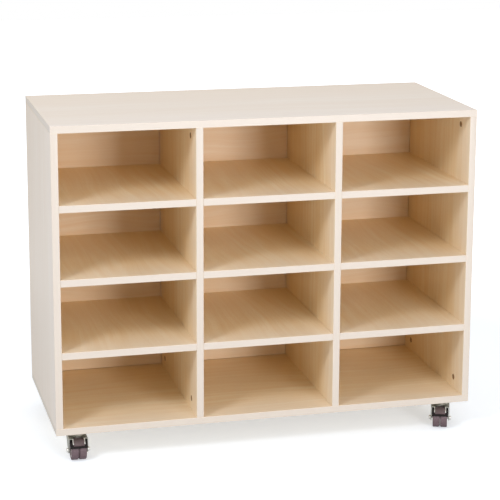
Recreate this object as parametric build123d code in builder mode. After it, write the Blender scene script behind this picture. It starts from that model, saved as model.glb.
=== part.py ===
from build123d import *
from math import cos, radians, sin
import os

os.makedirs("parts", exist_ok=True)

# An open storage trolley: twelve compartments of wood-effect board on four twin-wheel swivel casters.
# Millimetres. +Z is up and the front faces -Y. The origin is on the floor, under the middle of the carcass.
# Axles and swivel rivets are true rounds. The many other small rounds are drawn with a few flats each, so
# that the whole model stays light.
pin_sides = 6
disc_sides = 8
race_sides = 8
wheel_sides = 16
hood_steps = 9
dome_steps = 5
rim_steps = 1
lip_steps = 3

# Boards and compartments
board = 18.0
compartment_width = 340.0
column_count = 3
bottom_row_height = 178.0
middle_row_height = 168.0
top_row_height = 178.0
carcass_depth = 472.0
edge_easing = 0.6
shelf_end_gap = 0.25
shelf_back_gap = 0.25
back_gap = 1.5

# Cam locks and their bolts, which pull the uprights against the top and bottom panels
cam_radius = 7.5
cam_length = 12.5
cam_disc = 4.0
cam_inset = 66.0
cam_from_end = 30.0
cam_recess = 0.3
cam_mouth_past_centre = 1.0
drive_slot_length = 9.0
drive_slot_width = 1.8
drive_slot_depth = 2.0
bolt_radius = 3.0
bolt_head_radius = 3.6
bolt_head_length = 4.0
bolt_in_board = 11.0
fit_clearance = 0.1
end_clearance = 0.5

# Dowels: a short one joins an edge to a face, a through one joins two shelves across a divider
dowel_radius = 4.0
dowel_in_face = 11.0
dowel_in_edge = 19.0
shelf_dowel_inset = 60.0
back_dowel_inset = 50.0

# Casters: place, plate and screws
caster_inset_x = 58.0
caster_inset_y = 52.0
plate_size = 60.0
plate_corner = 8.0
plate_steel = 2.5
screw_spacing = 46.0
screw_radius = 1.9
screw_head_radius = 4.0
screw_head_height = 2.2
screw_in_board = 13.0
screw_hole_radius = 2.6

# Casters: swivel head
upper_race_radius = 19.0
upper_race_height = 5.0
bearing_radius = 16.0
bearing_bore_radius = 9.0
bearing_height = 4.2
lower_race_height = 5.0
race_bevel = 2.4
swivel_clearance = 0.3
rivet_radius = 4.0
rivet_head_radius = 7.5
rivet_head_height = 2.5

# Casters: fork
fork_width = 49.0
fork_steel = 2.0
fork_bend = 2.5
crown_reach = 34.0
crown_tail = 20.0
cheek_tail = 14.0
cheek_foot_radius = 8.0
notch_radius = 13.0
lip_steel = 2.4
lip_height = 2.2
lip_clearance = 1.0
lip_from_notch = 0.3
lip_tip_angle = 44.0
lip_outer_root_angle = 60.0
lip_inner_root_angle = 66.0

# Casters: wheels, axle and hood
wheel_radius = 25.0
wheel_width = 17.6
rim_radius = 18.0
dish_radius = 15.0
dish_depth = 4.0
boss_radius = 6.0
shoulder = 2.5
axle_drop = 50.0
trail = 23.0
axle_radius = 3.0
axle_cap_radius = 5.5
axle_cap_height = 5.2
running_fit = 0.1
web_thickness = 2.0
web_radius = 22.0
wheel_side_gap = 0.4
hood_wall = 1.8
hood_clearance = 1.2
hood_width = 43.6
dome_width = 26.0
dome_height = 2.6
hood_front_angle = 25.0
rim_band_angle = 36.0
rim_band_height = 0.6
hood_rear_angle = 187.0
dome_rear_angle = 118.0

# How far each caster is turned as the trolley stands, seen from above
caster_turns = {"front_left": 0.0, "front_right": -21.0, "rear_left": -9.0, "rear_right": 8.0}

# Levels and places that follow from the sizes above
row_heights = [bottom_row_height, middle_row_height, middle_row_height, top_row_height]
inner_height = sum(row_heights) + (len(row_heights) - 1) * board
carcass_width = column_count * compartment_width + (column_count + 1) * board
underside = axle_drop + wheel_radius
floor_top = underside + board
ceiling = floor_top + inner_height
front = -carcass_depth / 2
rear = carcass_depth / 2
back_face = rear - board
shelf_depth = carcass_depth - board - shelf_back_gap
shelf_middle = front + shelf_depth / 2
row_bottoms = [floor_top + sum(row_heights[:row]) + row * board for row in range(len(row_heights))]
shelf_undersides = [bottom - board for bottom in row_bottoms[1:]]
upright_lefts = [-carcass_width / 2 + index * (compartment_width + board) for index in range(column_count + 1)]
column_middles = [left + board + compartment_width / 2 for left in upright_lefts[:-1]]
upright_names = ["left_side_panel", "left_divider", "right_divider", "right_side_panel"]
column_names = ["left", "centre", "right"]
row_names = ["lower", "middle", "upper"]
# The face of each upright that its cam locks are let into: 1 is the right-hand face, -1 the left-hand one
cam_faces = [1, -1, 1, -1]

caster_x = carcass_width / 2 - caster_inset_x
caster_places = {
    "front_left": (-caster_x, front + caster_inset_y),
    "front_right": (caster_x, front + caster_inset_y),
    "rear_left": (-caster_x, rear - caster_inset_y),
    "rear_right": (caster_x, rear - caster_inset_y),
}
screw_square = [(sx * screw_spacing / 2, sy * screw_spacing / 2) for sx in (-1, 1) for sy in (-1, 1)]
screw_places = [(x + dx, y + dy) for x, y in caster_places.values() for dx, dy in screw_square]

bolt_places_y = [front + cam_inset, rear - cam_inset]
cam_places = [(y, z) for y in bolt_places_y for z in (floor_top + cam_from_end, ceiling - cam_from_end)]
shelf_dowels_y = [front + shelf_dowel_inset, back_face - shelf_dowel_inset]
shelf_dowel_places = [(y, level + board / 2) for y in shelf_dowels_y for level in shelf_undersides]
upright_middles = [left + board / 2 for left in upright_lefts]
bolt_places = [(x, y) for x in upright_middles for y in bolt_places_y]
back_dowel_places = [
    (middle + side * (compartment_width / 2 - back_dowel_inset), back_face + board / 2)
    for middle in column_middles
    for side in (-1, 1)
]
bolt_head_top = cam_from_end - bolt_head_radius / 2
bolt_head_start = bolt_head_top - bolt_head_length


def cam_face_x(index):
    """The X of the face that an upright's cam locks are let into."""
    return upright_lefts[index] + (board if cam_faces[index] > 0 else 0)


def pins(plane, places, radius, length, sides=pin_sides):
    """Round pins that stand on a plane, drawn with their corners on the true radius."""
    with BuildSketch(plane) as ends:
        with Locations(*places):
            RegularPolygon(radius, sides, rotation=180 / sides)
    extrude(ends.sketch, amount=length)


def bores(plane, places, radius, depth, sides=pin_sides):
    """Holes cut along the plane's normal, drawn with their flats on the true radius."""
    with BuildSketch(plane) as mouths:
        with Locations(*places):
            RegularPolygon(radius, sides, major_radius=False, rotation=180 / sides)
    extrude(mouths.sketch, amount=depth, mode=Mode.SUBTRACT)


def arc_points(radius, start, end, steps):
    """Points on an arc about the axle, by angle from straight ahead, rising over the wheel."""
    angles = [radians(start + (end - start) * step / steps) for step in range(steps + 1)]
    return [(-radius * cos(angle), radius * sin(angle)) for angle in angles]


def save(piece, name):
    """Label a finished piece and write it to its own file."""
    piece.part.label = name
    export_step(piece.part, f"parts/{name}.step")


# Top and bottom panels: full width and depth, with bolt holes for the uprights and dowel holes for the backs
for name, level, face, inward in (
    ("bottom_panel", underside, floor_top, -1),
    ("top_panel", ceiling, ceiling, 1),
):
    with BuildPart() as panel:
        with BuildSketch(Plane.XY.offset(level)):
            Rectangle(carcass_width, carcass_depth)
        extrude(amount=board)
        chamfer(panel.edges().filter_by(Axis.X) + panel.edges().filter_by(Axis.Y), edge_easing)
        joint = Plane.XY.offset(face)
        bores(joint, bolt_places, bolt_radius + fit_clearance, inward * (bolt_in_board + end_clearance))
        bores(joint, back_dowel_places, dowel_radius + fit_clearance, inward * (dowel_in_face + end_clearance))
        if face == floor_top:
            bores(Plane.XY.offset(underside), screw_places, screw_radius + fit_clearance, screw_in_board + end_clearance)
    save(panel, name)

# Uprights: side panels and dividers, with cam recesses in one face and dowel holes for the shelves
for index, name in enumerate(upright_names):
    left_face = upright_lefts[index]
    middle = left_face + board / 2
    is_divider = 0 < index < column_count
    with BuildPart() as upright:
        with BuildSketch(Plane.XY.offset(floor_top)):
            with Locations((middle, 0)):
                Rectangle(board, carcass_depth)
        extrude(amount=inner_height)
        chamfer(upright.faces().sort_by(Axis.Y)[0].edges().filter_by(Axis.Z), edge_easing)
        for end, up in ((floor_top, 1), (ceiling, -1)):
            bores(
                Plane.XY.offset(end),
                [(middle, y) for y in bolt_places_y],
                bolt_head_radius + fit_clearance,
                up * cam_from_end,
            )
        face = cam_face_x(index)
        bores(
            Plane.YZ.offset(face),
            cam_places,
            cam_radius + fit_clearance,
            -cam_faces[index] * (cam_recess + cam_length + end_clearance),
            disc_sides,
        )
        if is_divider:
            bores(Plane.YZ.offset(left_face), shelf_dowel_places, dowel_radius + fit_clearance, board)
        else:
            inward = 1 if index == 0 else -1
            inner_face = middle + inward * board / 2
            bores(
                Plane.YZ.offset(inner_face),
                shelf_dowel_places,
                dowel_radius + fit_clearance,
                -inward * (dowel_in_face + end_clearance),
            )
    save(upright, name)

# Shelves: three in each column, flush with the uprights in front and against the back panel behind
shelf_width = compartment_width - 2 * shelf_end_gap
for column, column_middle in enumerate(column_middles):
    for row, level in enumerate(shelf_undersides):
        with BuildPart() as shelf:
            with BuildSketch(Plane.XY.offset(level)):
                with Locations((column_middle, shelf_middle)):
                    Rectangle(shelf_width, shelf_depth)
            extrude(amount=board)
            chamfer(shelf.faces().sort_by(Axis.Y)[0].edges().filter_by(Axis.X), edge_easing)
            for side in (-1, 1):
                bores(
                    Plane.YZ.offset(column_middle + side * shelf_width / 2),
                    [(y, level + board / 2) for y in shelf_dowels_y],
                    dowel_radius + fit_clearance,
                    -side * (dowel_in_edge + end_clearance),
                )
        save(shelf, f"{column_names[column]}_{row_names[row]}_shelf")

# Back panels: one behind each column, set in flush with the rear, with an open joint all round
for column, column_middle in enumerate(column_middles):
    with BuildPart() as back_panel:
        with BuildSketch(Plane.XY.offset(floor_top + back_gap)):
            with Locations((column_middle, back_face + board / 2)):
                Rectangle(compartment_width - 2 * back_gap, board)
        extrude(amount=inner_height - 2 * back_gap)
        for end, up in ((floor_top, 1), (ceiling, -1)):
            bores(
                Plane.XY.offset(end),
                [place for place in back_dowel_places if abs(place[0] - column_middle) < compartment_width / 2],
                dowel_radius + fit_clearance,
                up * (dowel_in_edge + end_clearance),
            )
    save(back_panel, f"{column_names[column]}_back_panel")

# Cam locks: a disc with a drive slot, open behind it towards the joint so that the bolt's head can enter
with BuildPart() as cam_locks:
    for index in range(column_count + 1):
        into_board = -cam_faces[index]
        cam_front = cam_face_x(index) + into_board * cam_recess
        pins(Plane.YZ.offset(cam_front), cam_places, cam_radius, into_board * cam_length, disc_sides)
        with BuildSketch(Plane.YZ.offset(cam_front + into_board * cam_disc)) as mouths:
            for y in bolt_places_y:
                for end, up in ((floor_top, 1), (ceiling, -1)):
                    mouth_top = end + up * (cam_from_end + cam_mouth_past_centre)
                    mouth_foot = end + up * (cam_from_end - cam_radius - end_clearance)
                    with Locations((y, (mouth_top + mouth_foot) / 2)):
                        Rectangle(2 * (bolt_head_radius + fit_clearance), abs(mouth_top - mouth_foot))
        extrude(mouths.sketch, amount=into_board * (cam_length - cam_disc), mode=Mode.SUBTRACT)
        with BuildSketch(Plane.YZ.offset(cam_front)) as drive_slots:
            with Locations(*cam_places):
                Rectangle(drive_slot_length, drive_slot_width)
        extrude(drive_slots.sketch, amount=into_board * drive_slot_depth, mode=Mode.SUBTRACT)
save(cam_locks, "cam_locks")

# Cam bolts: screwed into the top and bottom panels, with a head that the cam draws in
with BuildPart() as cam_bolts:
    for end, up in ((floor_top, 1), (ceiling, -1)):
        foot = Plane.XY.offset(end - up * bolt_in_board)
        pins(foot, bolt_places, bolt_radius, up * (bolt_in_board + bolt_head_start))
        pins(Plane.XY.offset(end + up * bolt_head_start), bolt_places, bolt_head_radius, up * bolt_head_length)
save(cam_bolts, "cam_bolts")

# Short dowels: top and bottom panels to back panels, and side panels to shelves
with BuildPart() as short_dowels:
    for end, up in ((floor_top, 1), (ceiling, -1)):
        foot = Plane.XY.offset(end - up * dowel_in_face)
        pins(foot, back_dowel_places, dowel_radius, up * (dowel_in_face + dowel_in_edge))
    for inner_face, inward in ((upright_lefts[0] + board, 1), (upright_lefts[-1], -1)):
        foot = Plane.YZ.offset(inner_face - inward * dowel_in_face)
        pins(foot, shelf_dowel_places, dowel_radius, inward * (dowel_in_face + dowel_in_edge))
save(short_dowels, "short_dowels")

# Through dowels: pass through each divider and into the shelves on both sides of it
with BuildPart() as through_dowels:
    for left_face in upright_lefts[1:-1]:
        foot = Plane.YZ.offset(left_face - dowel_in_edge)
        pins(foot, shelf_dowel_places, dowel_radius, board + 2 * dowel_in_edge)
save(through_dowels, "through_dowels")

# Levels below the bottom panel, measured down from it
upper_race_foot = plate_steel + upper_race_height
bearing_foot = upper_race_foot + bearing_height
crown_top = bearing_foot + lower_race_height
crown_foot = crown_top + fork_steel

# Mounting plates: clipped corners, four screw holes and a pressed-down race, square to the panel
for corner, (x, y) in caster_places.items():
    seat = Plane((x, y, underside))
    with BuildPart() as plate:
        with BuildSketch(seat) as outline:
            Rectangle(plate_size, plate_size)
            chamfer(outline.vertices(), plate_corner)
        extrude(amount=-plate_steel)
        pins(seat.offset(-plate_steel), [(0, 0)], upper_race_radius, -upper_race_height, race_sides)
        chamfer(plate.faces().sort_by(Axis.Z)[0].edges(), race_bevel)
        bores(seat, screw_square, screw_hole_radius, -plate_steel)
        bores(seat, [(0, 0)], rivet_radius + fit_clearance, -upper_race_foot)
    save(plate, f"{corner}_plate")

# Caster screws: pan heads under the plates, shanks up into the bottom panel
with BuildPart() as caster_screws:
    pins(Plane.XY.offset(underside - plate_steel), screw_places, screw_radius, plate_steel + screw_in_board)
    pins(Plane.XY.offset(underside - plate_steel), screw_places, screw_head_radius, -screw_head_height)
save(caster_screws, "caster_screws")

# Swivel bearings: a ring between each plate's race and the fork's
with BuildPart() as swivel_bearings:
    race = Plane.XY.offset(underside - upper_race_foot)
    pins(race, list(caster_places.values()), bearing_radius, -bearing_height, race_sides)
    bores(race, list(caster_places.values()), bearing_bore_radius, -bearing_height)
save(swivel_bearings, "swivel_bearings")

# Swivel rivets: from the plate down through the fork, with a head under its crown
with BuildPart() as swivel_rivets:
    rivet_foot = crown_foot + swivel_clearance
    with BuildSketch(Plane.XY.offset(underside)) as shanks:
        with Locations(*caster_places.values()):
            Circle(rivet_radius)
    extrude(shanks.sketch, amount=-rivet_foot)
    rivet_heads = Plane.XY.offset(underside - rivet_foot)
    pins(rivet_heads, list(caster_places.values()), rivet_head_radius, -rivet_head_height, disc_sides)
save(swivel_rivets, "swivel_rivets")

# The fork's side outline, the lips beside the hood, the hood and its web, about the axle and seen from the side
crown_level = axle_drop - crown_top
crown_under = axle_drop - crown_foot
nose = trail - crown_reach
heel = trail + cheek_tail
foot_corner = cheek_foot_radius * cos(radians(45))
fork_outline = [
    (nose, crown_level),
    (-cheek_foot_radius, 0),
    (-foot_corner, -foot_corner),
    (0, -cheek_foot_radius),
    (foot_corner, -foot_corner),
    (cheek_foot_radius, 0),
    (heel, crown_under - fork_steel),
    (heel, crown_under),
    (trail + crown_tail, crown_under),
    (trail + crown_tail, crown_level),
]
hood_inner = wheel_radius + hood_clearance
hood_outer = hood_inner + hood_wall
lip_inner = hood_outer + lip_clearance
lip_outer = lip_inner + lip_height
hood_outline = arc_points(hood_outer, hood_front_angle, hood_rear_angle, hood_steps) + arc_points(
    hood_inner, hood_rear_angle, hood_front_angle, hood_steps
)
dome_outline = arc_points(hood_outer + dome_height, rim_band_angle, dome_rear_angle, dome_steps) + arc_points(
    hood_inner, dome_rear_angle, rim_band_angle, dome_steps
)
rim_outline = arc_points(hood_outer + rim_band_height, hood_front_angle, rim_band_angle, rim_steps) + arc_points(
    hood_inner, rim_band_angle, hood_front_angle, rim_steps
)
web_outline = arc_points(hood_inner, hood_front_angle, hood_rear_angle, hood_steps) + arc_points(
    web_radius, hood_rear_angle, hood_front_angle + 360, hood_steps
)
lip_outline = (
    [(nose + fork_steel, crown_under), (nose + fork_steel, crown_level), (nose, crown_level)]
    + arc_points(lip_outer, lip_outer_root_angle, lip_tip_angle, lip_steps)
    + arc_points(lip_inner, lip_tip_angle, lip_inner_root_angle, lip_steps)
)
lip_middle = notch_radius + lip_from_notch + lip_steel / 2
wheel_inner = web_thickness / 2 + wheel_side_gap
half_fork = fork_width / 2

for corner, (x, y) in caster_places.items():
    turn = radians(caster_turns[corner])
    swivel = Plane((x, y, underside), x_dir=(cos(turn), sin(turn), 0), z_dir=(0, 0, 1))
    axle_middle = swivel.from_local_coords((0, -trail, -axle_drop))
    side_view = Plane(axle_middle, x_dir=swivel.y_dir, z_dir=swivel.x_dir)
    end_view = Plane(swivel.from_local_coords((0, -crown_reach, 0)), x_dir=swivel.x_dir, z_dir=-swivel.y_dir)

    # Fork: a pressed channel cut to its side outline, with a raised race, an arched notch and two lips
    with BuildPart() as fork:
        with BuildSketch(end_view) as section:
            channel_height = axle_drop + cheek_foot_radius - crown_top
            with Locations((0, -crown_top - channel_height / 2)):
                Rectangle(fork_width, channel_height)
            chamfer(section.vertices().group_by(Axis.Z)[-1], fork_bend)
            with Locations((0, -crown_foot - channel_height / 2)):
                Rectangle(fork_width - 2 * fork_steel, channel_height, mode=Mode.SUBTRACT)
        extrude(amount=-(crown_reach + crown_tail))
        with BuildSketch(side_view.offset(-half_fork)):
            with BuildLine():
                Polyline(*fork_outline, close=True)
            make_face()
        extrude(amount=fork_width, mode=Mode.INTERSECT)
        pins(swivel.offset(-crown_top), [(0, 0)], upper_race_radius, lower_race_height, race_sides)
        chamfer(fork.faces().sort_by(Axis.Z)[-1].edges(), race_bevel)
        bores(swivel.offset(-bearing_foot), [(0, 0)], rivet_radius + swivel_clearance, -crown_foot)
        bores(swivel.offset(-crown_top), [(0, -crown_reach)], notch_radius, -fork_steel, race_sides)
        for side in (-1, 1):
            with BuildSketch(side_view.offset(side * lip_middle - lip_steel / 2)) as lip:
                with BuildLine():
                    Polyline(*lip_outline, close=True)
                make_face()
            extrude(lip.sketch, amount=lip_steel)
        bores(side_view.offset(-half_fork), [(0, 0)], axle_radius + running_fit, fork_width)
    save(fork, f"{corner}_fork")

    # Hood: a shell over the upper half of both wheels, with a raised dome, a rim band along the front edge
    # and a round web that stands between the wheels and holds the axle
    with BuildPart() as hood:
        for outline, width in (
            (hood_outline, hood_width),
            (dome_outline, dome_width),
            (rim_outline, hood_width),
            (web_outline, web_thickness),
        ):
            with BuildSketch(side_view.offset(-width / 2)):
                with BuildLine():
                    Polyline(*outline, close=True)
                make_face()
            extrude(amount=width)
        bores(side_view.offset(-hood_width / 2), [(0, 0)], axle_radius + running_fit, hood_width)
    save(hood, f"{corner}_hood")

    # Axle: a plain pin with a riveted cap outside each cheek
    with BuildPart() as axle:
        cap_start = half_fork + running_fit
        with BuildSketch(side_view.offset(-cap_start)):
            Circle(axle_radius)
        extrude(amount=2 * cap_start)
        for side in (-1, 1):
            pins(side_view.offset(side * cap_start), [(0, 0)], axle_cap_radius, side * axle_cap_height, disc_sides)
    save(axle, f"{corner}_axle")

    # Wheels: a tyre round a dished hub, one on each side of the hood's web
    for side, wheel_name in ((-1, "left"), (1, "right")):
        inner_face = side_view.offset(side * wheel_inner)
        outer_face = side_view.offset(side * (wheel_inner + wheel_width))
        with BuildPart() as tyre:
            with BuildSketch(inner_face):
                RegularPolygon(wheel_radius, wheel_sides, major_radius=False, rotation=180 / wheel_sides)
            extrude(amount=side * wheel_width)
            ends = tyre.faces().sort_by(Axis(side_view.origin, side_view.z_dir))
            chamfer(ends[0].edges() + ends[-1].edges(), shoulder)
            bores(inner_face, [(0, 0)], rim_radius, side * wheel_width, wheel_sides)
        save(tyre, f"{corner}_{wheel_name}_tyre")
        with BuildPart() as hub:
            with BuildSketch(inner_face):
                RegularPolygon(rim_radius, wheel_sides, major_radius=False, rotation=180 / wheel_sides)
            extrude(amount=side * wheel_width)
            with BuildSketch(outer_face) as dish:
                RegularPolygon(dish_radius, wheel_sides)
                RegularPolygon(boss_radius, disc_sides, mode=Mode.SUBTRACT)
            extrude(dish.sketch, amount=-side * dish_depth, mode=Mode.SUBTRACT)
            bores(inner_face, [(0, 0)], axle_radius + running_fit, side * wheel_width)
        save(hub, f"{corner}_{wheel_name}_hub")
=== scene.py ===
import logging
from collections.abc import Callable, Iterable, Sequence
from dataclasses import dataclass, field, fields
from enum import Enum
from functools import cached_property, reduce
from math import atan2, cos, degrees, hypot, pi, radians, sin
from typing import ClassVar

import bmesh
import bpy
from bmesh.types import BMesh, BMVert
from bpy.types import ID, Material, Mesh, Node, NodeSocket, NodeTree, Object
from mathutils import Matrix, Vector


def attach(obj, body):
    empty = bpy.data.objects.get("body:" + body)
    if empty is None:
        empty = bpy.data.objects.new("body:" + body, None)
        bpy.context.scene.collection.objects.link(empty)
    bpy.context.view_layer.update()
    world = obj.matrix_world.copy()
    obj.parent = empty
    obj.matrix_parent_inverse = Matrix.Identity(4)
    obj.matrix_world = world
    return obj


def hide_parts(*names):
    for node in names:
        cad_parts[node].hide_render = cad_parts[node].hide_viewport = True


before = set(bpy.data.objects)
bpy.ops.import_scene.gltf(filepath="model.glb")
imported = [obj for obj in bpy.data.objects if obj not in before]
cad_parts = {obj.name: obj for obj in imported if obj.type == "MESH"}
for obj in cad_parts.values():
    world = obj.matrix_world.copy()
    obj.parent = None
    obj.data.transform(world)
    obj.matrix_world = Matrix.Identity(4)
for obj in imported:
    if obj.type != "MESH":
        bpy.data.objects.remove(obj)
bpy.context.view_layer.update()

LOG = logging.getLogger("trolley")
MM = 0.001
TAU = 2 * pi
SMOOTH_UNDER = 32.0  # degrees between two faces that are shaded as one
EASED_FROM = 35.0  # degrees at an edge that is eased
OVERRUN = 1.0  # how far a drill reaches past a face, in millimetres
FRONT, REAR = (0.0, -1.0, 0.0), (0.0, 1.0, 0.0)
LEFT, RIGHT = (-1.0, 0.0, 0.0), (1.0, 0.0, 0.0)
UP, DOWN = (0.0, 0.0, 1.0), (0.0, 0.0, -1.0)
ENDS = (FRONT, RIGHT, LEFT)
ALONG_X = Matrix.Rotation(pi / 2, 4, "Y")
Point = tuple[float, float]
Place = tuple[float, float, float]
Colour = tuple[float, ...]
Feeds = dict[int | str, object] | Sequence[object]


class Axis(Enum):
    """A direction of the shared frame, by its place in a vector."""

    X = 0
    Y = 1
    Z = 2


class Corner(Enum):
    """A caster's corner: its name, side (-1 left), end (-1 front) and turn in degrees as it stands."""

    FRONT_LEFT = ("front_left", -1, -1, 0.0)
    FRONT_RIGHT = ("front_right", 1, -1, -21.0)
    REAR_LEFT = ("rear_left", -1, 1, -9.0)
    REAR_RIGHT = ("rear_right", 1, 1, 8.0)


class Cut(Enum):
    """How one shape is worked on another."""

    TAKE = "DIFFERENCE"
    KEEP = "INTERSECT"
    ADD = "UNION"


def linear(code: str) -> Colour:
    """Turn a screen colour, six hexadecimal digits, into scene-linear light with a full alpha."""
    parts = [int(code[start : start + 2], 16) / 255 for start in (0, 2, 4)]
    return *(part / 12.92 if part <= 0.04045 else ((part + 0.055) / 1.055) ** 2.4 for part in parts), 1.0


class Wiring:
    """A hand for wiring one node tree: it adds nodes, feeds their sockets and names the common sums."""

    def __init__(self, tree: NodeTree) -> None:
        """Take hold of the tree that is to be wired."""
        self.tree = tree

    def feed(self, socket: NodeSocket, value: object) -> None:
        """Link a socket into another, or set its own value.

        Args:
            socket: the input to feed.
            value: an output socket, or a plain value.
        """
        if isinstance(value, NodeSocket):
            self.tree.links.new(value, socket)
        else:
            socket.default_value = value

    def node(self, kind: str, feeds: Feeds = (), **settings: object) -> Node:
        """Add a node.

        Args:
            kind: the node's type name.
            feeds: what its inputs take, in order, or by name or place.
            settings: properties to set on it first.

        Returns:
            The new node.
        """
        made = self.tree.nodes.new(kind)
        for key, value in settings.items():
            setattr(made, key, value)
        for key, value in feeds.items() if isinstance(feeds, dict) else enumerate(feeds):
            self.feed(made.inputs[key], value)
        return made

    def math(self, operation: str, *values: object, clamp: bool = False) -> NodeSocket:
        """Do one sum on numbers, held between 0 and 1 if it is clamped."""
        return self.node("ShaderNodeMath", values, operation=operation, use_clamp=clamp).outputs[0]

    def plus(self, *values: object) -> NodeSocket:
        """Add numbers up."""
        return reduce(lambda total, value: self.math("ADD", total, value), values)

    def times(self, first: object, second: object) -> NodeSocket:
        """Multiply two numbers."""
        return self.math("MULTIPLY", first, second)

    def vector(self, operation: str, *values: object) -> Node:
        """Do one sum on vectors and return its node."""
        return self.node("ShaderNodeVectorMath", values, operation=operation)

    def stretch(self, vector: object, *scale: float) -> NodeSocket:
        """Multiply a vector by one scale for each direction."""
        return self.vector("MULTIPLY", vector, scale).outputs[0]

    def split(self, vector: object) -> Sequence[NodeSocket]:
        """The X, Y and Z of a vector."""
        return self.node("ShaderNodeSeparateXYZ", (vector,)).outputs

    def combine(self, *parts: object) -> NodeSocket:
        """A vector from its X, Y and Z."""
        return self.node("ShaderNodeCombineXYZ", parts).outputs[0]

    def place(self, kind: str = "Object") -> NodeSocket:
        """The surface's own place, or another of its coordinates."""
        return self.node("ShaderNodeTexCoord").outputs[kind]

    def agreement(self, first: object, second: object) -> NodeSocket:
        """How far two directions agree, from -1 to 1."""
        return self.vector("DOT_PRODUCT", first, second).outputs["Value"]

    def ramp(self, value: object, low: float, high: float, start: float = 0.0, end: float = 1.0) -> NodeSocket:
        """Ease a value from start, at low, to end, at high."""
        feeds = (value, low, high, start, end)
        return self.node("ShaderNodeMapRange", feeds, interpolation_type="SMOOTHSTEP").outputs[0]

    def noise(self, vector: object, scale: object, detail: float = 2.0, rough: float = 0.5) -> NodeSocket:
        """Read a smooth random value, about 0.5 on average, with finer layers added by detail and rough."""
        feeds = {"Vector": vector, "Scale": scale, "Detail": detail, "Roughness": rough}
        return self.node("ShaderNodeTexNoise", feeds).outputs[0]

    def blend(self, factor: object, first: object, second: object) -> NodeSocket:
        """Mix two colours by a factor."""
        return self.node("ShaderNodeMix", {0: factor, 6: first, 7: second}, data_type="RGBA").outputs[2]

    def tint(self, colour: NodeSocket, share: object, code: str) -> NodeSocket:
        """Take a colour a share of the way to a screen colour."""
        return self.blend(share, colour, linear(code))

    def choose(self, factor: object, first: object, second: object) -> NodeSocket:
        """Mix two vectors by a factor."""
        return self.node("ShaderNodeMix", {0: factor, 4: first, 5: second}, data_type="VECTOR").outputs[1]

    def effect(self, tree: NodeTree, **values: object) -> Sequence[NodeSocket]:
        """Place a shared effect, with its inputs by name and underscores for spaces, and return its outputs."""
        feeds = {name.replace("_", " "): value for name, value in values.items()}
        return self.node("ShaderNodeGroup", feeds, node_tree=tree).outputs

    def relief(self, shader: Node, height: NodeSocket, depth: float, strength: float) -> None:
        """Give a shader fine relief from a height, whose full depth is in metres."""
        bump = self.node("ShaderNodeBump", {"Height": height, "Distance": depth, "Strength": strength})
        self.feed(shader.inputs["Normal"], bump.outputs[0])


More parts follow.
